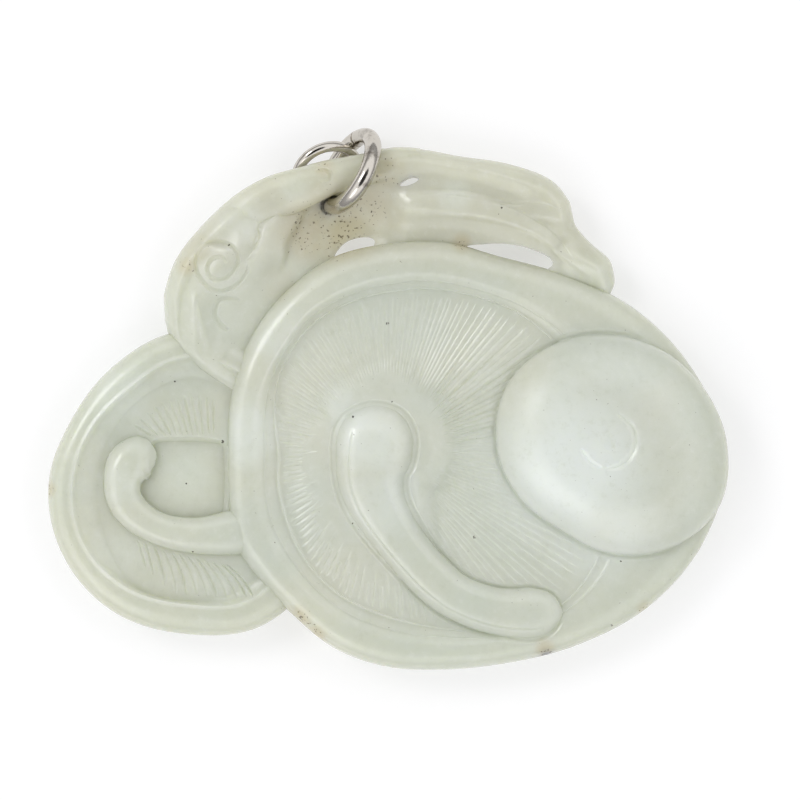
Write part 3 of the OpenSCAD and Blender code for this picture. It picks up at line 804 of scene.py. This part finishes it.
def neck_form(around=32, along=64, fullness=0.8):
    """A bar through the rows of its table, nearly oval in section."""
    def place(i, k):
        where = (len(NECK) - 1) * k / along
        x, y, z, half_width, half_depth = row_at(NECK, where)
        ahead = row_at(NECK, where + 0.05)
        heading = Vector((ahead[0] - x, ahead[1] - y)).normalized()
        turn = 2 * math.pi * i / around
        across, up = math.cos(turn), math.sin(turn)
        side = half_width * math.copysign(abs(across) ** fullness, across)
        z += half_depth * math.copysign(abs(up) ** fullness, up)
        return Vector((x - heading.y * side, y + heading.x * side, z))

    return skinned("neck", around, along, place)


def undercut_tool():
    """The slope cut from behind under the neck, as wide as the ring needs."""
    bm = bmesh.new()
    ends = (-UNDERCUT_HALF, UNDERCUT_HALF)
    skin(bm, len(UNDERCUT), 1, lambda i, k: Vector((ends[k], *UNDERCUT[i])))
    turn = Matrix.Rotation(math.radians(UNDERCUT_TURN), 4, "Z")
    bmesh.ops.transform(bm, matrix=Matrix.Translation(UNDERCUT_MIDDLE) @ turn, verts=bm.verts)
    return solid("undercut", bm)


def ring_path_tool(around=24, along=96):
    """The path that the jump ring takes through the stone, a little wider than its wire."""
    name, node, middle, radius, wire, bearing, tilt, seam_turn = RINGS[0]
    bore = wire / 2 + RING_SLACK

    def place(i, k):
        turn, ahead = 2 * math.pi * i / around, 2 * math.pi * k / along
        wide = radius + bore * math.cos(turn)
        return Vector((wide * math.cos(ahead), wide * math.sin(ahead), bore * math.sin(turn)))

    bm = bmesh.new()
    made = bmesh.ops.create_grid(bm, x_segments=around, y_segments=along, size=1.0)["verts"]
    for v in made:
        i, k = round((v.co.x + 1) / 2 * around), round((v.co.y + 1) / 2 * along)
        v.co = place(i % around, k % along)
    bmesh.ops.remove_doubles(bm, verts=bm.verts, dist=1e-6)
    turn = Matrix.Rotation(math.radians(bearing), 4, "Z")
    turn = turn @ Matrix.Rotation(math.radians(-tilt), 4, "X")
    bmesh.ops.transform(bm, matrix=Matrix.Translation(middle) @ turn, verts=bm.verts)
    return solid("ring_path", bm)


carve(crown, [plan_column("ring_room", RING_ROOM), undercut_tool()])
carve(crown, [ring_path_tool()])
neck = neck_form()
for opening in OPENINGS:
    for form in (crown, neck):
        carve(form, [plan_column("opening", opening)])
cut_line(neck, "nick_wheel", Surface(neck), through(NICK, 30), 0.25, 0.14, round_bottom=True)


# The whole carving
# All the forms are one stone, pale green nephrite with brown skin left in its hollows, so they
# are joined into a single closed body. Small chips along the edges show that it was long worn.
# Chips: x, y, height, radius
CHIPS = [
    (-30.0, -8.0, 3.6, 0.45),
    (-8.3, -19.4, 4.0, 0.55),
    (-7.4, -20.4, 3.6, 0.5),
    (-6.3, -21.2, 3.4, 0.45),
    (13.9, -22.1, 4.2, 0.55),
    (22.9, -18.6, 4.2, 0.45),
]
HOLLOW_REACH = 2.2  # how far off a face still shuts a place in
THIN_LIMIT = 6.0  # a thickness from which on the stone isn't thin
# Stained places: x, y, radius, strength
STAINS = [
    (-4.2, 15.4, 3.6, 0.8),
    (-6.6, 14.9, 2.8, 0.75),
    (-2.0, 17.0, 2.6, 0.65),
    (-0.2, 19.8, 1.8, 0.6),
    (0.2, 16.0, 1.6, 0.3),
    (-16.8, 13.2, 1.5, 0.25),
    (-17.6, 11.7, 0.9, 0.6),
    (-5.5, 20.3, 0.9, 0.6),
    (-9.4, 10.0, 1.8, 0.25),
    (6.6, 13.7, 0.9, 0.8),
    (-8.0, -19.6, 1.3, 1.0),
    (-6.4, -21.0, 1.1, 0.9),
    (13.9, -22.0, 0.9, 0.8),
    (22.8, -18.6, 0.8, 0.6),
    (-29.9, -8.0, 0.8, 0.7),
]
# Milky places, in the same columns; the one in the brown hollow under the neck is painted light
# that lifts its shade
MILK_AND_PAINTED_LIGHT = [
    (16.2, -6.0, 7.0, 1.0),
    (18.6, -11.0, 5.0, 0.8),
    (21.0, -2.0, 6.0, 0.3),
    (-1.6, -3.6, 3.2, 0.8),
    (-0.6, -9.0, 3.4, 0.4),
    (-4.2, 0.2, 1.6, 0.3),
    (-12.2, -2.8, 2.6, 0.6),
    (-9.5, 5.5, 2.2, 0.4),
    (-23.6, -7.6, 2.0, 0.3),
    (-23.8, -14.0, 2.6, 0.45),
    (-23.5, 0.5, 2.6, 0.4),
    (6.0, 17.9, 1.6, 0.4),
    (-13.0, 15.5, 2.4, 0.35),
    (-8.0, 18.3, 1.4, 0.4),
    (-17.6, -6.8, 2.6, 0.35),
    # painted light: lifts the brown hollow under the neck out of its shade
    (-3.6, 15.6, 2.8, 0.35),
    (-12.4, -4.6, 1.6, 0.5),
]
# Dark specks in the stone, in the same columns
SPECKS = [
    (0.05, 6.6, 0.15, 1.0),
    (0.45, -0.3, 0.09, 1.0),
    (-14.5, -3.8, 0.16, 1.0),
    (7.7, -12.2, 0.16, 1.0),
    (-13.9, 13.5, 0.11, 1.0),
    (-8.0, 15.5, 0.13, 1.0),
    (-1.4, 16.5, 0.11, 1.0),
    (10.1, 16.8, 0.11, 1.0),
    (-17.7, -7.5, 0.09, 1.0),
    (-17.1, -13.5, 0.09, 1.0),
    (-18.7, 1.5, 0.09, 1.0),
    (20.6, -14.3, 0.1, 1.0),
    (19.8, -20.0, 0.1, 1.0),
    (-3.0, -1.6, 0.11, 1.0),
    (-3.0, -11.0, 0.09, 1.0),
]
# Places that are worn a little matt, in the same columns
MATT = [
    (12.9, 0.2, 4.2, 1.0),
    (-17.4, -7.4, 3.4, 1.0),
    (-14.2, 17.0, 3.2, 1.0),
    (-17.6, 12.6, 3.2, 1.0),
]
SCRATCH_WAY = 38  # bearing across which most fine scratches lie, in degrees


def chip_tool():
    """Rough little balls that break the edge."""
    bm = bmesh.new()
    for x, y, z, radius in CHIPS:
        made = bmesh.ops.create_icosphere(bm, subdivisions=2, radius=radius)["verts"]
        for v in made:
            v.co *= 1 + 0.5 * noise.noise(v.co * 2.5 + Vector((x, y, z)))
        bmesh.ops.translate(bm, vec=(x, y, z), verts=made)
    return solid("chips", bm)


def half_sphere(count):
    """Directions spread evenly over the half sphere round +Z."""
    found = []
    for k in range(count):
        z = 1 - (k + 0.5) / count * 0.9
        turn = k * math.pi * (3 - math.sqrt(5))
        wide = math.sqrt(1 - z * z)
        found.append(Vector((wide * math.cos(turn), wide * math.sin(turn), z)))
    return found


def learn_form(mesh):
    """Stores on each vertex how hollow its place is and how thin the stone is behind it."""
    verts = [v.co.copy() for v in mesh.vertices]
    tree = BVHTree.FromPolygons(verts, [p.vertices for p in mesh.polygons])
    hollow = mesh.attributes.new("hollow", "FLOAT", "POINT").data
    thin = mesh.attributes.new("thin", "FLOAT", "POINT").data
    looks = half_sphere(14)
    off_face = 0.03
    down = Vector((0, 0, -1))
    for n, v in enumerate(mesh.vertices):
        up = v.normal.to_track_quat("Z", "Y")
        shut = 0.0
        for look in looks:
            distance = tree.ray_cast(v.co + v.normal * off_face, up @ look, HOLLOW_REACH)[3]
            if distance is not None:
                shut += 1 - distance / HOLLOW_REACH
        hollow[n].value = shut / len(looks)
        stone = tree.ray_cast(v.co + down * 0.05, down, THIN_LIMIT)[3] or THIN_LIMIT
        thin[n].value = 1 - stone / THIN_LIMIT


carve(large_cap, [crown, neck, main_stem, young_cap, small_cap, small_stem], "UNION")
carve(large_cap, [chip_tool()])
carving = large_cap
carving.name = carving.data.name = "jade_carved_body"
learn_form(carving.data)
carving.data.transform(Matrix.Scale(MM, 4))
carving.data.shade_smooth()
carving.data.set_sharp_from_angle(angle=math.radians(32))


class Nodes:
    """Short ways to add shader nodes to one material."""

    def __init__(self, tree):
        self.tree = tree

    def add(self, kind, **settings):
        made = self.tree.nodes.new(kind)
        for name, value in settings.items():
            setattr(made, name, value)
        return made

    def link(self, source, target):
        self.tree.links.new(source, target)
        return target

    def put(self, target, value):
        """Sets a socket to a number or colour, or links another socket to it."""
        if isinstance(value, bpy.types.NodeSocket):
            self.link(value, target)
        else:
            target.default_value = value

    def math(self, operation, a, b):
        made = self.add("ShaderNodeMath", operation=operation)
        self.put(made.inputs[0], a)
        self.put(made.inputs[1], b)
        return made.outputs[0]

    def blend(self, share, a, b):
        """The colour a, with a share of the colour b laid over it."""
        made = self.add("ShaderNodeMix", data_type="RGBA")
        for socket, value in zip((0, 6, 7), (share, a, b)):
            self.put(made.inputs[socket], value)
        return made.outputs[2]

    def span(self, value, low, high, to_low=0.0, to_high=1.0):
        """Goes softly from to_low to to_high while the value goes from low to high."""
        made = self.add("ShaderNodeMapRange", interpolation_type="SMOOTHSTEP")
        for socket, number in zip(made.inputs, (value, low, high, to_low, to_high)):
            self.put(socket, number)
        return made.outputs[0]

    def noise(self, place, scale, detail=3.0, rough=0.5):
        """Cloudy values round 0.5, with scale in cycles to the metre."""
        made = self.add("ShaderNodeTexNoise")
        self.put(made.inputs["Vector"], place)
        self.put(made.inputs["Scale"], scale)
        self.put(made.inputs["Detail"], detail)
        self.put(made.inputs["Roughness"], rough)
        return made.outputs["Fac"]

    def attribute(self, name):
        return self.add("ShaderNodeAttribute", attribute_name=name).outputs["Fac"]


def colour(red, green, blue):
    """A colour as seen on screen, 0 to 255, as the light values that shaders take."""
    return (*(((c / 255 + 0.055) / 1.055) ** 2.4 for c in (red, green, blue)), 1.0)


STONE = colour(214, 216, 201)
GREENER_STONE = colour(208, 213, 200)
CROWN_STONE = colour(209, 209, 193)
# milky clouds of the stone, also laid on as painted light in the shaded hollow under the neck
MILKY_AND_LIT_STONE = colour(231, 236, 230)
VEIN = colour(229, 232, 226)
# painted shade: thin stone is made darker and yellower, as if the table's shade showed through it
THIN_STONE_SHADE = colour(198, 199, 174)
LIGHT_GRAIN = colour(232, 234, 228)
DARK_GRAIN = colour(184, 188, 166)
BROWN_SKIN = colour(197, 184, 147)
DIRT = colour(88, 74, 50)
SPECK = colour(58, 50, 36)
CROWN_FROM, CROWN_TO = 9.0, 15.0  # y between which the stone turns to the crown's tone
STONE_ROUGH = (0.16, 0.2)
MOST_ROUGH = 0.265


def jade():
    """Waxy polished nephrite, with its tone built up from the clear stone to the dirt on it."""
    material = bpy.data.materials.new("jade")
    material.use_nodes = True
    n = Nodes(material.node_tree)
    shader = material.node_tree.nodes["Principled BSDF"]
    place = n.add("ShaderNodeTexCoord").outputs["Object"]
    split = n.add("ShaderNodeSeparateXYZ")
    n.link(place, split.inputs[0])
    plan = n.add("ShaderNodeCombineXYZ")
    n.link(split.outputs["X"], plan.inputs["X"])
    n.link(split.outputs["Y"], plan.inputs["Y"])

    def patches(table):
        """The strongest of soft round patches: x, y, radius, strength."""
        found = 0.0
        for x, y, radius, strength in table:
            away = n.add("ShaderNodeVectorMath", operation="DISTANCE")
            n.link(plan.outputs[0], away.inputs[0])
            away.inputs[1].default_value = (x * MM, y * MM, 0.0)
            patch = n.span(away.outputs["Value"], radius * MM * 1.4, radius * MM * 0.3)
            found = n.math("MAXIMUM", found, n.math("MULTIPLY", patch, strength))
        return found

    milk = n.noise(place, 110.0, 2.0)
    tone = n.blend(n.span(milk, 0.3, 0.7), STONE, GREENER_STONE)
    in_crown = n.span(split.outputs["Y"], CROWN_FROM * MM, CROWN_TO * MM)
    tone = n.blend(in_crown, tone, CROWN_STONE)
    # Milky clouds in the stone, and painted light in the shaded hollow under the neck
    milky_and_lit = n.math("MULTIPLY", patches(MILK_AND_PAINTED_LIGHT), n.span(milk, 0.25, 0.6, 0.6, 1.0))
    tone = n.blend(milky_and_lit, tone, MILKY_AND_LIT_STONE)
    veins = n.span(n.noise(place, 240.0, 3.0, 0.55), 0.4, 0.85)
    tone = n.blend(n.math("MULTIPLY", veins, 0.15), tone, VEIN)
    # Painted shade: where the stone is thin, the table's shade seen through it is painted in
    tone = n.blend(n.math("MULTIPLY", n.attribute("thin"), 0.45), tone, THIN_STONE_SHADE)
    grain = n.noise(place, 1100.0, 6.0, 0.75)
    tone = n.blend(n.span(grain, 0.5, 0.8, 0.0, 0.35), tone, LIGHT_GRAIN)
    tone = n.blend(n.span(grain, 0.5, 0.2, 0.0, 0.3), tone, DARK_GRAIN)

    cloud = n.noise(place, 420.0, 5.0, 0.65)
    stained = n.math("MULTIPLY", patches(STAINS), n.span(cloud, 0.25, 0.55, 0.25, 1.0))
    crevice = n.span(n.attribute("hollow"), 0.35, 0.8)
    crevice = n.math("MULTIPLY", crevice, n.span(cloud, 0.35, 0.65, 0.1, 0.5))
    stained = n.math("MAXIMUM", stained, n.math("MULTIPLY", crevice, 0.6))
    tone = n.blend(n.math("MULTIPLY", stained, 0.6), tone, BROWN_SKIN)

    crumbs = n.math("ADD", n.noise(place, 3600.0, 2.0), n.math("MULTIPLY", stained, 0.19))
    dirt = n.span(crumbs, 0.75, 0.79)
    tone = n.blend(n.math("MULTIPLY", dirt, 0.7), tone, DIRT)
    ragged = n.span(n.noise(place, 7000.0, 2.0), 0.35, 0.6, 0.3, 1.3)
    specks = n.span(n.math("MULTIPLY", patches(SPECKS), ragged), 0.3, 0.7)
    tone = n.blend(n.math("MULTIPLY", specks, 0.9), tone, SPECK)
    n.link(tone, shader.inputs["Base Color"])

    matt = patches(MATT)
    rough = n.span(n.noise(place, 700.0, 4.0, 0.6), 0.3, 0.7, *STONE_ROUGH)
    rough = n.math("ADD", rough, n.math("MULTIPLY", matt, 0.05))
    rough = n.math("ADD", rough, n.math("MULTIPLY", stained, 0.08))
    n.link(n.math("MINIMUM", rough, MOST_ROUGH), shader.inputs["Roughness"])
    gloss = n.math("SUBTRACT", 0.5, n.math("MULTIPLY", matt, 0.24))
    n.link(gloss, shader.inputs["Specular IOR Level"])
    shader.inputs["IOR"].default_value = 1.6
    shader.inputs["Subsurface Weight"].default_value = 1.0
    shader.inputs["Subsurface Radius"].default_value = (1.0, 1.0, 0.85)
    shader.inputs["Subsurface Scale"].default_value = 0.003

    stretch = n.add("ShaderNodeMapping")
    n.link(place, stretch.inputs["Vector"])
    stretch.inputs["Rotation"].default_value = (0, 0, math.radians(SCRATCH_WAY))
    stretch.inputs["Scale"].default_value = (0.07, 1.0, 0.5)
    scratches = n.span(n.noise(stretch.outputs[0], 5200.0, 3.0, 0.6), 0.62, 0.7)
    relief = n.math("MULTIPLY", n.noise(place, 1600.0), 0.3)
    relief = n.math("ADD", relief, n.noise(place, 350.0, 2.0))
    relief = n.math("SUBTRACT", relief, n.math("MULTIPLY", scratches, 0.1))
    bump = n.add("ShaderNodeBump")
    bump.inputs["Strength"].default_value = 0.35
    bump.inputs["Distance"].default_value = 0.0001
    n.link(relief, bump.inputs["Height"])
    n.link(bump.outputs[0], shader.inputs["Normal"])
    return material


carving.data.materials.clear()
carving.data.materials.append(jade())
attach(carving, "root")
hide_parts("jade_carving")


# Jump rings
# Two rings of round silver wire, sawn through and closed with pliers. The upper, stouter one
# goes round the neck of the crown, and the lower, finer one is linked through it.
SEAM = 2.0  # degrees of the ring that the saw takes out
SILVER = colour(203, 198, 189)
TARNISH = colour(88, 74, 56)


def silver():
    """Silver with its shine rubbed dull and tarnish left in patches."""
    material = bpy.data.materials.new("silver")
    material.use_nodes = True
    n = Nodes(material.node_tree)
    shader = material.node_tree.nodes["Principled BSDF"]
    place = n.add("ShaderNodeTexCoord").outputs["Object"]
    tarnish = n.span(n.noise(place, 500.0, 5.0, 0.65), 0.52, 0.72)
    tone = n.blend(n.math("MULTIPLY", tarnish, 0.7), SILVER, TARNISH)
    n.link(tone, shader.inputs["Base Color"])
    shader.inputs["Metallic"].default_value = 1.0
    rough = n.span(n.noise(place, 3000.0), 0.3, 0.7, 0.05, 0.11)
    rough = n.math("ADD", rough, n.math("MULTIPLY", tarnish, 0.15))
    n.link(rough, shader.inputs["Roughness"])
    bump = n.add("ShaderNodeBump")
    bump.inputs["Strength"].default_value = 0.4
    bump.inputs["Distance"].default_value = 0.00003
    n.link(n.noise(place, 2400.0, 4.0, 0.6), bump.inputs["Height"])
    n.link(bump.outputs[0], shader.inputs["Normal"])
    return material


def wire_ring(name, middle, radius, wire, bearing, tilt, seam_turn):
    """A ring bent from round wire, with its sawn ends a little rounded."""
    bm = bmesh.new()
    section = bmesh.ops.create_circle(bm, segments=28, radius=wire / 2)["verts"]
    upright = Matrix.Rotation(math.pi / 2, 3, "X")
    bmesh.ops.rotate(bm, verts=section, cent=(0, 0, 0), matrix=upright)
    bmesh.ops.translate(bm, verts=section, vec=(radius, 0, 0))
    bmesh.ops.spin(
        bm, geom=bm.verts[:] + bm.edges[:], cent=(0, 0, 0), axis=(0, 0, 1), dvec=(0, 0, 0),
        angle=math.radians(360 - SEAM), steps=180, use_merge=False,
    )
    ends = bmesh.ops.holes_fill(bm, edges=[e for e in bm.edges if e.is_boundary])["faces"]
    bmesh.ops.recalc_face_normals(bm, faces=bm.faces)
    bmesh.ops.bevel(
        bm, geom=[e for f in ends for e in f.edges], offset=wire * 0.05, segments=2,
        profile=0.5, affect="EDGES", material=-1,
    )
    turn = Matrix.Rotation(math.radians(bearing), 4, "Z")
    turn = turn @ Matrix.Rotation(math.radians(-tilt), 4, "X")
    turn = turn @ Matrix.Rotation(math.radians(seam_turn), 4, "Z")
    bmesh.ops.transform(bm, matrix=Matrix.Translation(middle) @ turn, verts=bm.verts)
    made = solid(name, bm)
    made.data.transform(Matrix.Scale(MM, 4))
    made.data.shade_smooth()
    made.data.set_sharp_from_angle(angle=math.radians(40))
    return made


silver_wire = silver()
for name, node, *form in RINGS:
    ring = wire_ring(name, *form)
    ring.data.materials.append(silver_wire)
    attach(ring, "root")
    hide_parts(node)


# Table and light
# The pendant lies on its back on a plain white table, under a large soft light from the upper
# left and a white ceiling, seen from straight above as in the photograph.
TABLE_HALF = 600.0
TABLE_TOP = -0.05  # a hair under the pendant, so that no two faces coincide
TABLE_WHITE = 0.56
TABLE_GLOW = 0.47  # lifts the table to the plain white of a lit backdrop
VIEW_MIDDLE = Vector((1.15, -0.13, 4.0)) * MM
VIEW_WIDTH = 70.6 * MM
CAMERA_HIGH = 600.0 * MM
# Brightness of the ceiling from its edge up to the middle: share of the way, brightness
CEILING = [(0.0, 0.3), (0.35, 0.42), (0.6, 0.95), (0.9, 0.95), (0.935, 0.1), (1.0, 0.02)]
CEILING_POWER = 1.24

top = bmesh.new()
bmesh.ops.create_grid(top, x_segments=2, y_segments=2, size=TABLE_HALF)
bmesh.ops.translate(top, verts=top.verts, vec=(0, 0, TABLE_TOP))
table = solid("table", top)
table.data.transform(Matrix.Scale(MM, 4))
white = bpy.data.materials.new("table_white")
white.use_nodes = True
paper = white.node_tree.nodes["Principled BSDF"]
paper.inputs["Base Color"].default_value = (TABLE_WHITE, TABLE_WHITE, TABLE_WHITE, 1)
paper.inputs["Roughness"].default_value = 0.8
paper.inputs["Emission Color"].default_value = (1, 1, 1, 1)
paper.inputs["Emission Strength"].default_value = TABLE_GLOW
table.data.materials.append(white)


def soft_light(name, way, distance, size, power):
    """A round lamp that shines from a direction, in metres and watts, at the middle."""
    light = bpy.data.lights.new(name, "AREA")
    light.shape = "DISK"
    light.size = size
    light.energy = power
    lamp = bpy.data.objects.new(name, light)
    way = Vector(way).normalized()
    lamp.location = way * distance
    lamp.rotation_euler = (-way).to_track_quat("-Z", "Y").to_euler()
    bpy.context.scene.collection.objects.link(lamp)


soft_light("window", (-1.0, 0.62, 1.5), 0.6, 0.2, 0.43)
soft_light("side", (-0.8, -0.9, 1.4), 0.7, 0.36, 0.3)

world = bpy.data.worlds.new("studio")
bpy.context.scene.world = world
world.use_nodes = True
n = Nodes(world.node_tree)
backdrop = world.node_tree.nodes["Background"]
way_up = n.add("ShaderNodeSeparateXYZ")
n.link(n.add("ShaderNodeTexCoord").outputs["Generated"], way_up.inputs[0])
ceiling = n.add("ShaderNodeValToRGB")
elements = ceiling.color_ramp.elements
while len(elements) < len(CEILING):
    elements.new(0.5)
for element, (share, value) in zip(elements, CEILING):
    element.position = share
    element.color = (value, value, value * 1.02, 1)
n.link(way_up.outputs["Z"], ceiling.inputs[0])
n.link(ceiling.outputs[0], backdrop.inputs["Color"])
backdrop.inputs["Strength"].default_value = CEILING_POWER
bpy.context.scene.view_settings.view_transform = "Standard"

camera = bpy.data.cameras.new("camera")
camera.sensor_width = 36.0
camera.lens = 36.0 * (CAMERA_HIGH - VIEW_MIDDLE.z) / VIEW_WIDTH
camera.clip_start = 0.01
viewer = bpy.data.objects.new("camera", camera)
viewer.location = (VIEW_MIDDLE.x, VIEW_MIDDLE.y, CAMERA_HIGH)
bpy.context.scene.collection.objects.link(viewer)
bpy.context.scene.camera = viewer
